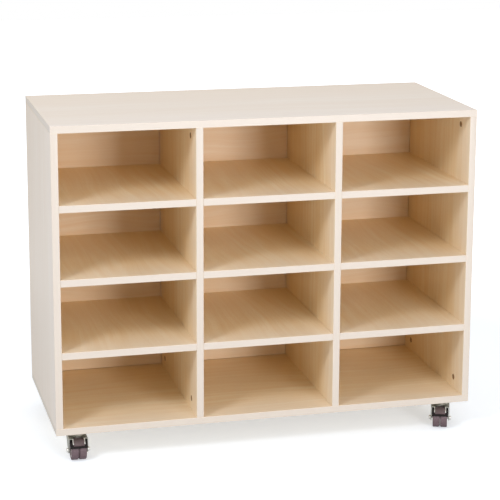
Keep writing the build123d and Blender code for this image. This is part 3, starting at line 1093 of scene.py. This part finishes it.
@dataclass
class CasterScrews(SwivelRivets):
    """Pan-head screws that hold the plates, with a cross recess."""

    title, node, slot, bevel = "plate_screws", "caster_screws", "zinc_steel", 0.00015
    taper: ClassVar[float] = 0.72
    rounds: ClassVar[tuple[int, int]] = (32, 20)
    arm_share: ClassVar[float] = 0.22
    head_radius: float = 4.0
    head_height: float = 2.2
    shank_radius: float = 1.9
    shank_length: float = 15.5

    def shape(self, net: Wiring, sizes: dict[str, NodeSocket]) -> NodeSocket:
        """Wire one: a headed pin, less a cross in its head.

        Args:
            net: the tree's wiring.
            sizes: the tree's inputs.

        Returns:
            The mesh.
        """
        radius, height = sizes["Head radius"], sizes["Head height"]
        spans = (radius, radius, net.times(radius, self.arm_share), height)
        return self.less(net, super().shape(net, sizes), self.cross(net, spans, height))


@dataclass
class BallRings(RepeatedFitting):
    """A ring of balls in a thin cage between each plate and fork."""

    title, node, slot = "swivel_ball_rings", "swivel_bearings", "zinc_steel"
    balls: ClassVar[int] = 18
    rounds: ClassVar[int] = 64
    bore_share: ClassVar[float] = 0.7
    ring_radius: float = 13.2
    ball_radius: float = 2.04
    cage_radius: float = 14.0
    cage_height: float = 1.2

    def shape(self, net: Wiring, sizes: dict[str, NodeSocket]) -> NodeSocket:
        """Wire one ring of balls about the origin, with its cage.

        Args:
            net: the tree's wiring.
            sizes: the tree's inputs.

        Returns:
            The mesh.
        """
        feeds = {"Vertices": self.balls, "Radius": sizes["Ring radius"]}
        circle = net.node("GeometryNodeMeshCircle", feeds).outputs["Mesh"]
        feeds = {"Radius": sizes["Ball radius"], "Subdivisions": 3}
        ball = net.node("GeometryNodeMeshIcoSphere", feeds).outputs["Mesh"]
        stand = net.node("GeometryNodeInstanceOnPoints", {"Points": circle, "Instance": ball})
        balls = net.node("GeometryNodeRealizeInstances", {"Geometry": stand.outputs["Instances"]}).outputs[0]
        radius, height = sizes["Cage radius"], sizes["Cage height"]
        cage = self.solid(net, "Cylinder", {"Vertices": self.rounds, "Radius": radius, "Depth": height})
        feeds = {"Vertices": self.rounds, "Radius": net.times(radius, self.bore_share), "Depth": net.times(height, 2.0)}
        both = net.node("GeometryNodeJoinGeometry")
        for part in (self.less(net, cage, self.solid(net, "Cylinder", feeds)), balls):
            net.feed(both.inputs[0], part)
        return both.outputs[0]


@dataclass
class CasterSizes:
    """The sizes of one caster, in millimetres and degrees, about its swivel and its axle."""

    underside: float = 75.0
    inset_x: float = 58.0
    inset_y: float = 52.0
    play: float = 0.1
    plate: float = 60.0
    plate_corner: float = 9.0
    plate_steel: float = 2.5
    plate_edge: float = 0.35
    screw_spacing: float = 46.0
    screw_hole: float = 2.6
    screw_play: float = 0.7  # half of the oval hole's straight part
    race_radius: float = 19.0
    race_height: float = 5.0
    plate_root: float = 0.4  # how far the plate's race goes into its steel
    fork_root: float = 0.5  # the same for the fork's race
    bearing_height: float = 4.2
    rivet_radius: float = 4.0
    rivet_gap: float = 0.3
    fork_width: float = 49.0
    fork_steel: float = 2.0
    fork_edge: float = 0.3
    bend: float = 3.6
    crown_reach: float = 34.0
    crown_tail: float = 20.0
    cheek_tail: float = 14.0
    foot_radius: float = 8.0
    notch_radius: float = 13.0
    lip_steel: float = 2.4
    lip_gap: float = 0.3
    lip_clearance: float = 1.0  # from the hood to the fork's lips
    lip_tip: float = 44.0
    wheel_radius: float = 25.0
    wheel_width: float = 17.6
    tyre_round: float = 2.6
    mould_line: float = 0.12
    rim_radius: float = 18.0
    dish_radius: float = 15.0
    dish_depth: float = 4.0
    rib_height: float = 2.2
    ribs: int = 5
    rib_from: float = 0.86  # how high the ribs' wave is where a rib starts
    rib_slope: float = 0.1  # how much of the wave a rib takes to rise
    dish_rings: tuple[float, ...] = (8.2, 10.0, 12.0, 13.4)  # radii of the dish's rings of points
    boss_radius: float = 6.0
    axle_drop: float = 50.0
    trail: float = 23.0
    axle_radius: float = 3.0
    cap_radius: float = 5.5
    cap_height: float = 5.2
    web: float = 2.0
    web_radius: float = 22.0
    wheel_gap: float = 0.4
    hood_wall: float = 1.8
    hood_round: float = 1.3
    hood_clearance: float = 1.2
    hood_width: float = 43.6
    dome_width: float = 26.0
    dome_height: float = 2.6
    hood_front: float = 25.0
    rim_band: float = 36.0
    rim_height: float = 0.6
    hood_rear: float = 187.0
    dome_rear: float = 118.0

    @property
    def crown_top(self) -> float:
        """How far the crown lies below the bottom panel."""
        return self.plate_steel + 2 * self.race_height + self.bearing_height

    @property
    def hood_inner(self) -> float:
        """The radius of the hood's inside about the axle."""
        return self.wheel_radius + self.hood_clearance


@dataclass
class Caster:
    """A twin-wheel swivel caster: plate, fork, hood, axle and two wheels."""

    corner: Corner
    palette: Palette
    shared: dict[str, Mesh]
    size: CasterSizes = field(default_factory=CasterSizes)

    def centre(self, carcass: Carcass) -> Place:
        """The swivel's place on the bottom panel, in millimetres."""
        s, (_, side, end, _) = self.size, self.corner.value
        return side * (carcass.half_width - s.inset_x), end * (carcass.depth / 2 - s.inset_y), s.underside

    def mesh(self, key: str, make: Callable[[], Mesh]) -> Mesh:
        """Make a mesh once and copy it for every caster.

        Args:
            key: the mesh's name.
            make: what makes it.

        Returns:
            A copy that can be moved freely.
        """
        if key not in self.shared:
            self.shared[key] = make()
        return self.shared[key].copy()

    def to_axle(self, aside: float = 0.0) -> Matrix:
        """The move from the swivel to the axle, or to a place aside along it."""
        return Matrix.Translation((aside, -self.size.trail, -self.size.axle_drop))

    def from_side(self) -> Matrix:
        """From the side view about the axle (rearwards, up, along the axle) to the caster's own frame."""
        return self.to_axle() @ Matrix(((0, 0, 1, 0), (1, 0, 0, 0), (0, 1, 0, 0), (0, 0, 0, 1)))

    def axle_drill(self, reach: float) -> BMesh:
        """A drill along the axle, to a reach on each side."""
        return moved(rod(self.size.axle_radius + self.size.play, -reach, reach), ALONG_X, self.to_axle())

    def race(self, level: float, way: int, sunk: float) -> BMesh:
        """A pressed race that stands off a sheet's face.

        Args:
            level: the face's height.
            way: 1 for a race above it, -1 for one below it.
            sunk: how deep its root lies in the sheet.

        Returns:
            A closed shape.
        """
        r, h = self.size.race_radius, self.size.race_height
        profile = [(0, -sunk), (r + 1.2, -sunk), (r, 1.0), (r - 1.0, h - 1.2), (r - 2.2, h), (0, h)]
        return turned([(radius, level + way * rise) for radius, rise in profile])

    def plate_mesh(self) -> Mesh:
        """A pressed square plate with a round race and four oval screw holes.

        Returns:
            The mesh, about the swivel.
        """
        s = self.size
        foot, flat = -s.plate_steel - s.race_height, s.plate / 2 - s.plate_corner
        corners = [((flat, flat), 0), ((-flat, flat), 90), ((-flat, -flat), 180), ((flat, -flat), 270)]
        outline = [point for centre, start in corners for point in arc(centre, s.plate_corner, start, start + 90, 6)]
        oval = arc((s.screw_play, 0), s.screw_hole, -90, 90, 8) + arc((-s.screw_play, 0), s.screw_hole, 90, 270, 8)
        holes = []
        for sx, sy in ((-1, -1), (-1, 1), (1, -1), (1, 1)):
            at = Matrix.Translation((sx * s.screw_spacing / 2, sy * s.screw_spacing / 2, 0))
            turn = Matrix.Rotation(radians(45 * sx * sy), 4, "Z")
            holes.append(moved(prism(oval, -s.plate_steel - OVERRUN, OVERRUN), at @ turn))
        steps = [
            (Cut.ADD, self.race(-s.plate_steel, -1, s.plate_root)),
            (Cut.TAKE, rod(s.rivet_radius + s.play, foot - OVERRUN, OVERRUN)),
            (Cut.TAKE, joined(holes)),
        ]
        return worked(prism(outline, -s.plate_steel, 0), steps, s.plate_edge)

    def lip_outline(self, top: float, nose: float) -> list[Point]:
        """The side view of a lip, from the crown's front edge down beside the hood.

        Args:
            top: the crown's top above the axle.
            nose: its front edge behind the axle.

        Returns:
            The outline about the axle.
        """
        s = self.size
        near, tip, steel = s.hood_inner + s.hood_wall + s.lip_clearance, s.lip_tip, s.fork_steel
        outer = arc((0, 0), near + 2.2, 60, tip + 2, 8) + arc((0, 0), near + 2.0, tip + 0.5, tip, 1)
        inner = arc((0, 0), near + 0.3, tip, tip + 0.6, 1) + arc((0, 0), near, tip + 2, 66, 10)
        flipped = [(-x, y) for x, y in outer + inner]
        return [(nose + steel, top - steel), (nose + steel, top), (nose, top), *flipped]

    def fork_mesh(self) -> Mesh:
        """A pressed channel cut to its side outline, with a raised race, an arched notch and two lips.

        Returns:
            The mesh, about the swivel.
        """
        s = self.size
        half, steel, crown, drop = s.fork_width / 2, s.fork_steel, -s.crown_top, s.axle_drop + s.foot_radius
        bends = [((half - s.bend, crown - s.bend), 0), ((s.bend - half, crown - s.bend), 90)]
        outer = [point for centre, start in bends for point in arc(centre, s.bend, start, start + 90, 6)]
        inner = [point for centre, start in bends[::-1] for point in arc(centre, s.bend - steel, start + 90, start, 6)]
        section = [(half, -drop), *outer, (-half, -drop), (steel - half, -drop), *inner, (half - steel, -drop)]
        stand = Matrix(((1, 0, 0, 0), (0, 0, 1, 0), (0, 1, 0, 0), (0, 0, 0, 1)))
        channel = moved(prism(section, -s.crown_reach, s.crown_tail), stand)
        bmesh.ops.recalc_face_normals(channel, faces=channel.faces)
        top, nose = s.axle_drop - s.crown_top, s.trail - s.crown_reach
        heel, tail = s.trail + s.cheek_tail, s.trail + s.crown_tail
        side = [(nose, top), *arc((0, 0), s.foot_radius, 175, 318, 14)]
        side += [(heel, top - 2 * steel), (heel + 1.5, top - steel), (tail, top - steel), (tail, top)]
        notch = moved(rod(s.notch_radius, crown - 5, crown + 0.4, 64), Matrix.Translation((0, -s.crown_reach, 0)))
        steps = [
            (Cut.KEEP, moved(prism(side, -half, half), self.from_side())),
            (Cut.ADD, self.race(crown, 1, s.fork_root)),
            (Cut.TAKE, rod(s.rivet_radius + s.rivet_gap, crown - 5, 0)),
            (Cut.TAKE, notch),
            (Cut.TAKE, self.axle_drill(half + OVERRUN)),
        ]
        for way in (-1, 1):
            middle, thin = way * (s.notch_radius + s.lip_gap + s.lip_steel / 2), s.lip_steel / 2
            lip = prism(self.lip_outline(top, nose), middle - thin, middle + thin)
            steps.append((Cut.ADD, moved(lip, self.from_side())))
        return worked(channel, steps, s.fork_edge)

    def hood_section(self) -> list[tuple[float, float, float]]:
        """The hood's outside across the wheels.

        Returns:
            Each place's X, its drop at the edge and its share of the dome.
        """
        s = self.size
        half, corner, dome = s.hood_width / 2, s.hood_round, s.dome_width / 2
        turns = [radians(angle) for angle in (90, 60, 30, 0)]
        right = [(half - corner + corner * sin(turn), corner - corner * cos(turn), 0.0) for turn in turns]
        slope = ((1.6, 0.0), (0.8, 0.18), (0.0, 0.62), (-0.9, 0.92), (-2.4, 1.0))
        right += [(dome + reach, 0.0, share) for reach, share in slope] + [(dome / 2, 0.0, 1.0)]
        return [*right, (0.0, 0.0, 1.0), *((-x, drop, share) for x, drop, share in reversed(right))]

    def hood_mesh(self) -> Mesh:
        """A moulded shell over both wheels, with a raised dome in front and a web down to the axle.

        Returns:
            The mesh, about the swivel.
        """
        s = self.size
        outer, half, front, band = s.hood_inner + s.hood_wall, s.hood_width / 2, s.hood_front, s.rim_band
        angles = [front, front + 0.7, front + 2, (front + band) / 2, band - 1.6, band - 0.8, band]
        angles += [band + 1, band + 2, band + 3.2, band + 4.5, band + 6]
        angles += [band + 6 + (s.hood_rear - band - 6) * step / 44 for step in range(1, 45)]
        shape, rings, section = bmesh.new(), [], self.hood_section()
        for angle in angles:
            eased = {front: 0.45, front + 0.7: 0.12}.get(angle, 0.0)
            raised = s.rim_height * min(max((band - angle) / 0.8, 0.0), 1.0) - eased
            fade = min(max((s.dome_rear + 6 - angle) / 14, 0.0), 1.0)
            lead = min(max((angle - band) / 4.5, 0.0), 1.0)
            dome = s.dome_height * fade * fade * (3 - 2 * fade) * lead * (2 - lead)
            ring = [(x, outer - drop + raised + dome * share) for x, drop, share in section]
            ring += [(x, s.hood_inner) for x in (-half, -half / 2, 0.0, half / 2, half)]
            turn = radians(angle)
            rings.append([shape.verts.new((-radius * cos(turn), radius * sin(turn), x)) for x, radius in ring])
        skin(shape, rings)
        shape.faces.new(rings[0])
        shape.faces.new(rings[-1][::-1])
        shell = moved(outward(shape), self.from_side())
        bmesh.ops.recalc_face_normals(shell, faces=shell.faces)
        web = arc((0, 0), s.hood_inner + 0.6, front + 3, s.hood_rear - 3, 24)
        web += arc((0, 0), s.web_radius, s.hood_rear - 3, front + 363, 32)
        plate = moved(prism([(-x, y) for x, y in web], -s.web / 2, s.web / 2), self.from_side())
        return worked(shell, [(Cut.ADD, plate), (Cut.TAKE, self.axle_drill(9))])

    def hood_finish(self, place: Vector) -> int:
        """Tell the shell and its rim band, which carry painted shade, from the dome and the web.

        Args:
            place: the face's middle, in the caster's own frame.

        Returns:
            1 for the shell's painted shade, 0 for the dome and the web.
        """
        s = self.size
        ahead, above = -(place[1] + s.trail), place[2] + s.axle_drop
        radius, angle = hypot(ahead, above), degrees(atan2(above, ahead))
        dome = abs(place[0]) < s.dome_width / 2 + 0.9 and s.rim_band + 0.5 < angle < s.dome_rear + 5
        web = abs(place[0]) < s.web / 2 + 0.05 and radius < s.hood_inner - 0.1
        return 0 if web or (dome and radius > s.hood_inner + 1) else 1

    def fork_finish(self, place: Vector) -> int:
        """1 for a face of the lips and the crown's front edge, which take a painted highlight, 0 for the rest of the
        fork.
        """
        return int(place[1] < 0.45 - self.size.crown_reach)

    def axle_mesh(self) -> Mesh:
        """A pin with a domed cap outside each cheek.

        Returns:
            The mesh, about the swivel.
        """
        s = self.size
        cap, start = s.cap_radius, s.fork_width / 2 + s.play
        end = start + s.cap_height
        dome = [(cap, end - 2.2), (cap - 0.5, end - 1.1), (cap - 1.8, end - 0.3), (cap - 3.4, end), (0, end)]
        half = [(s.axle_radius, start), (cap - 0.4, start), (cap, start + 0.5), *dome]
        profile = [(radius, -height) for radius, height in reversed(half)] + half
        return mesh_of(moved(turned(profile, 40), self.to_axle() @ ALONG_X), "axle")

    def tyre_mesh(self) -> Mesh:
        """A round-shouldered tread with a fine mould line.

        Returns:
            The mesh, with its outer face up.
        """
        s = self.size
        r, w, rim, soft = s.wheel_radius, s.wheel_width, s.rim_radius, s.tyre_round
        inner = [(r - soft + soft * sin(radians(a)), soft - soft * cos(radians(a))) for a in range(15, 91, 15)]
        low = r - s.mould_line
        line = [(r, w / 2 - 0.5), (low, w / 2 - 0.18), (low, w / 2 + 0.18), (r, w / 2 + 0.5)]
        outer = [(r - soft + soft * cos(radians(a)), w - soft + soft * sin(radians(a))) for a in range(0, 91, 15)]
        seat = [(rim + 1.4, w), (rim + 0.7, w - 0.5), (rim, w - 0.6)]
        return mesh_of(turned([(rim, 0.0), (r - soft, 0.0), *inner, *line, *outer, *seat], 96, closed=True), "tyre")

    def hub_level(self, radius: float, angle: float) -> float:
        """The height of the hub's outer face: a boss, a dish with five ribs and a rim.

        Args:
            radius: the place's distance from the axle.
            angle: its turn round the axle.

        Returns:
            The height above the hub's inner face.
        """
        s = self.size
        if radius <= s.boss_radius + 0.1:
            return s.wheel_width - (0.0 if radius <= s.boss_radius - 0.4 else 0.3)
        if radius >= s.dish_radius + 0.6:
            return s.wheel_width - (0.0 if radius < s.rim_radius - 0.4 else 0.25)
        rib = min(max((cos(s.ribs * angle) * 0.5 + 0.5 - s.rib_from) / s.rib_slope, 0.0), 1.0)
        share = 1.0 if s.boss_radius + 0.5 < radius < s.dish_radius - 0.1 else 0.75
        return s.wheel_width - s.dish_depth * share + s.rib_height * rib

    def hub_mesh(self) -> Mesh:
        """A dished hub with five ribs, a raised rim and a boss.

        Returns:
            The mesh, with its outer face up.
        """
        s, around = self.size, 100
        bore, boss, dish, rim = s.axle_radius + s.play, s.boss_radius, s.dish_radius, s.rim_radius
        face = [bore, boss - 0.5, boss, boss + 0.8, *s.dish_rings, dish, dish + 0.7, rim - 0.3]
        shape = bmesh.new()
        rings = [hoop(shape, r, [self.hub_level(r, TAU * step / around) for step in range(around)]) for r in face]
        rings += [hoop(shape, r, [z] * around) for r, z in ((rim, s.wheel_width - 0.6), (rim, 0.0), (bore, 0.0))]
        skin(shape, rings, closed=True)
        return mesh_of(outward(shape), "hub")

    def build(self, carcass: Carcass) -> None:
        """Make the caster's pieces and hand them to the frame.

        Args:
            carcass: what the caster is screwed to.
        """
        (name, _, _, turn), look, s = self.corner.value, self.palette, self.size
        still = Matrix.Scale(MM, 4) @ Matrix.Translation(self.centre(carcass))
        turning = still @ Matrix.Rotation(radians(turn), 4, "Z")
        plate = self.mesh("plate", self.plate_mesh)
        Piece(f"{name}_plate_pressing", plate, (look.steel,), "carcass", "zinc_steel", f"{name}_plate").finish(still)
        for key, make, finishes, slot, node, choose in (
            # painted highlight on the fork's lips and crown edge
            ("fork_pressing", self.fork_mesh, (look.steel, look.bright_steel), "zinc_steel", "fork", self.fork_finish),
            # painted shade on the hood's shell and rim band
            ("hood_moulding", self.hood_mesh, (look.hood, look.hood_shell), "hood_plastic", "hood", self.hood_finish),
            ("axle_pin", self.axle_mesh, (look.bright_steel,), "zinc_steel", "axle", lambda place: 0),
        ):
            mesh = self.mesh(key, make)
            which = [choose(polygon.center) for polygon in mesh.polygons]
            Piece(f"{name}_{key}", mesh, finishes, f"{name}_swivel", slot, f"{name}_{node}", which).finish(turning)
        for side, word in ((-1, "left"), (1, "right")):
            wheel = turning @ self.to_axle(side * (s.web / 2 + s.wheel_gap)) @ Matrix.Rotation(side * pi / 2, 4, "Y")
            for key, make, finish, slot, node in (
                ("tread", self.tyre_mesh, look.tread, "grey_tyre", "tyre"),
                ("wheel_disc", self.hub_mesh, look.hub, "hub_plastic", "hub"),
            ):
                title, stands_for = f"{name}_{word}_{key}", f"{name}_{word}_{node}"
                Piece(title, self.mesh(key, make), (finish,), f"{name}_{word}_wheel", slot, stands_for).finish(wheel)


@dataclass(frozen=True)
class Softbox:
    """A square lamp, aimed at a point."""

    title: str
    place: Place
    aim: Place
    size: float
    watts: float
    tint: str

    def build(self) -> None:
        """Hang the lamp."""
        lamp = bpy.data.lights.new(self.title, "AREA")
        lamp.shape, lamp.size, lamp.energy, lamp.color = "SQUARE", self.size, self.watts, linear(self.tint)[:3]
        made = loose(lamp, self.title)
        made.location = self.place
        made.rotation_euler = (Vector(self.aim) - Vector(self.place)).to_track_quat("-Z", "Y").to_euler()


@dataclass
class Studio:
    """The pale floor, the soft light and the camera.

    The floor glows to the eye, and less in reflections. Near the trolley it glows less than far away, so that it
    keeps the shadow.
    """

    focal_px: float = 1737.40
    frame_px: float = 500.0
    centre_px: Point = (280.0, 190.0)
    yaw: float = 0.26698
    pitch: float = 0.21569
    roll: float = -0.00758
    eye_mm: Place = (-1092.31, -4323.29, 1601.96)
    sensor: float = 36.0
    ambient: float = 0.42
    ambient_tint: str = "fffcf8"
    floor_half: float = 9.0
    floor_colour: Colour = (0.82, 0.86, 0.9)
    glow_colour: Colour = (0.95, 0.97, 1.0)
    glow_reach: Point = (1.1, 1.9)
    glow: Point = (0.46, 1.1)
    glow_in_gloss: float = 0.45
    lamps: tuple[Softbox, ...] = (
        Softbox("key_softbox", (-2.2, -1.9, 2.4), (0.0, -0.1, 0.45), 0.8, 41.0, "f4f8ff"),
        Softbox("broad_softbox", (0.2, -4.5, 2.6), (0.0, 0.0, 0.45), 3.0, 22.0, "f6f9ff"),
        Softbox("low_softbox", (1.15, -3.9, 1.0), (0.1, 0.1, 0.45), 1.0, 59.0, "fbfbff"),
        Softbox("top_softbox", (0.3, 0.2, 3.4), (0.0, 0.0, 0.8), 2.6, 24.0, "eef4ff"),
    )

    def backdrop(self) -> None:
        """A white world to look at, in gloss and through glass too, with a softer light of its own."""
        world = bpy.data.worlds.new("studio")
        world.use_nodes = True
        bpy.context.scene.world = world
        world.node_tree.nodes.clear()
        net = Wiring(world.node_tree)
        rays = net.node("ShaderNodeLightPath").outputs
        seen = net.math("MAXIMUM", rays["Is Camera Ray"], rays["Is Glossy Ray"])
        seen = net.math("MAXIMUM", seen, rays["Is Transmission Ray"])
        plain = net.node("ShaderNodeBackground", (linear(self.ambient_tint), self.ambient)).outputs[0]
        white = net.node("ShaderNodeBackground", ((1, 1, 1, 1), 1.0)).outputs[0]
        mix = net.node("ShaderNodeMixShader", (seen, plain, white)).outputs[0]
        net.node("ShaderNodeOutputWorld", {"Surface": mix})

    def floor(self) -> None:
        """A white floor that keeps a light shadow."""
        half = self.floor_half
        mesh = bpy.data.meshes.new("floor")
        mesh.from_pydata([(-half, -half, 0), (half, -half, 0), (half, half, 0), (-half, half, 0)], [], [(0, 1, 2, 3)])
        made, net, shader = start_material("floor_white")
        rays = net.node("ShaderNodeLightPath").outputs
        seen = net.math("MAXIMUM", rays["Is Camera Ray"], net.times(rays["Is Glossy Ray"], self.glow_in_gloss))
        away = net.vector("LENGTH", net.place()).outputs["Value"]
        for name, value in (
            ("Base Color", (*self.floor_colour, 1)), ("Roughness", 0.9), ("Specular IOR Level", 0.2),
            ("Emission Color", (*self.glow_colour, 1)),
            ("Emission Strength", net.times(seen, net.ramp(away, *self.glow_reach, *self.glow))),
        ):
            net.feed(shader.inputs[name], value)
        mesh.materials.append(made)
        loose(mesh, "floor")

    def camera(self) -> None:
        """The eye, at the photograph's angle."""
        yaw, pitch, roll = self.yaw, self.pitch, self.roll
        forward = Vector((sin(yaw) * cos(pitch), cos(yaw) * cos(pitch), -sin(pitch)))
        right = Vector((cos(yaw), -sin(yaw), 0.0))
        down = forward.cross(right)
        across, below = cos(roll) * right + sin(roll) * down, cos(roll) * down - sin(roll) * right
        lens = bpy.data.cameras.new("eye")
        lens.sensor_width, lens.lens = self.sensor, self.focal_px / self.frame_px * self.sensor
        lens.shift_x = 0.5 - self.centre_px[0] / self.frame_px
        lens.shift_y = self.centre_px[1] / self.frame_px - 0.5
        lens.clip_start, lens.clip_end = 0.05, 60.0
        made = loose(lens, "eye")
        axes = Matrix((across, -below, -forward)).transposed()
        made.matrix_world = Matrix.Translation(Vector(self.eye_mm) * MM) @ axes.to_4x4()
        bpy.context.scene.camera = made

    def build(self) -> None:
        """Set up the room."""
        bpy.context.scene.view_settings.view_transform = "Standard"
        self.backdrop()
        self.floor()
        for lamp in self.lamps:
            lamp.build()
        self.camera()


@dataclass
class Trolley:
    """The whole trolley."""

    carcass: Carcass = field(default_factory=Carcass)
    palette: Palette = field(default_factory=Palette)

    def build(self) -> None:
        """Build the boards, the fittings and the casters."""
        carcass, steel = self.carcass, self.palette.steel
        carcass.build(self.palette)
        CamLocks().place(carcass, self.palette)
        shared: dict[str, Mesh] = {}
        casters = [Caster(corner, self.palette, shared) for corner in Corner]
        for caster in casters:
            caster.build(carcass)
        for spare in shared.values():
            bpy.data.meshes.remove(spare)
        s, centres = casters[0].size, [caster.centre(carcass) for caster in casters]
        offsets = [(sx * s.screw_spacing / 2, sy * s.screw_spacing / 2) for sx in (-1, 1) for sy in (-1, 1)]
        screws = [((x + dx, y + dy, z - s.plate_steel), DOWN) for x, y, z in centres for dx, dy in offsets]
        CasterScrews().build(screws, steel)
        head, middle = s.crown_top + s.fork_steel + s.rivet_gap, s.plate_steel + s.race_height + s.bearing_height / 2
        SwivelRivets().build([((x, y, z - head), DOWN) for x, y, z in centres], steel)
        BallRings().build([((x, y, z - middle), DOWN) for x, y, z in centres], steel)


def main() -> None:
    """Build the trolley and the room, and report each piece."""
    logging.basicConfig(level=logging.INFO, format="%(message)s")
    Trolley().build()
    Studio().build()


if __name__ == "__main__":
    main()
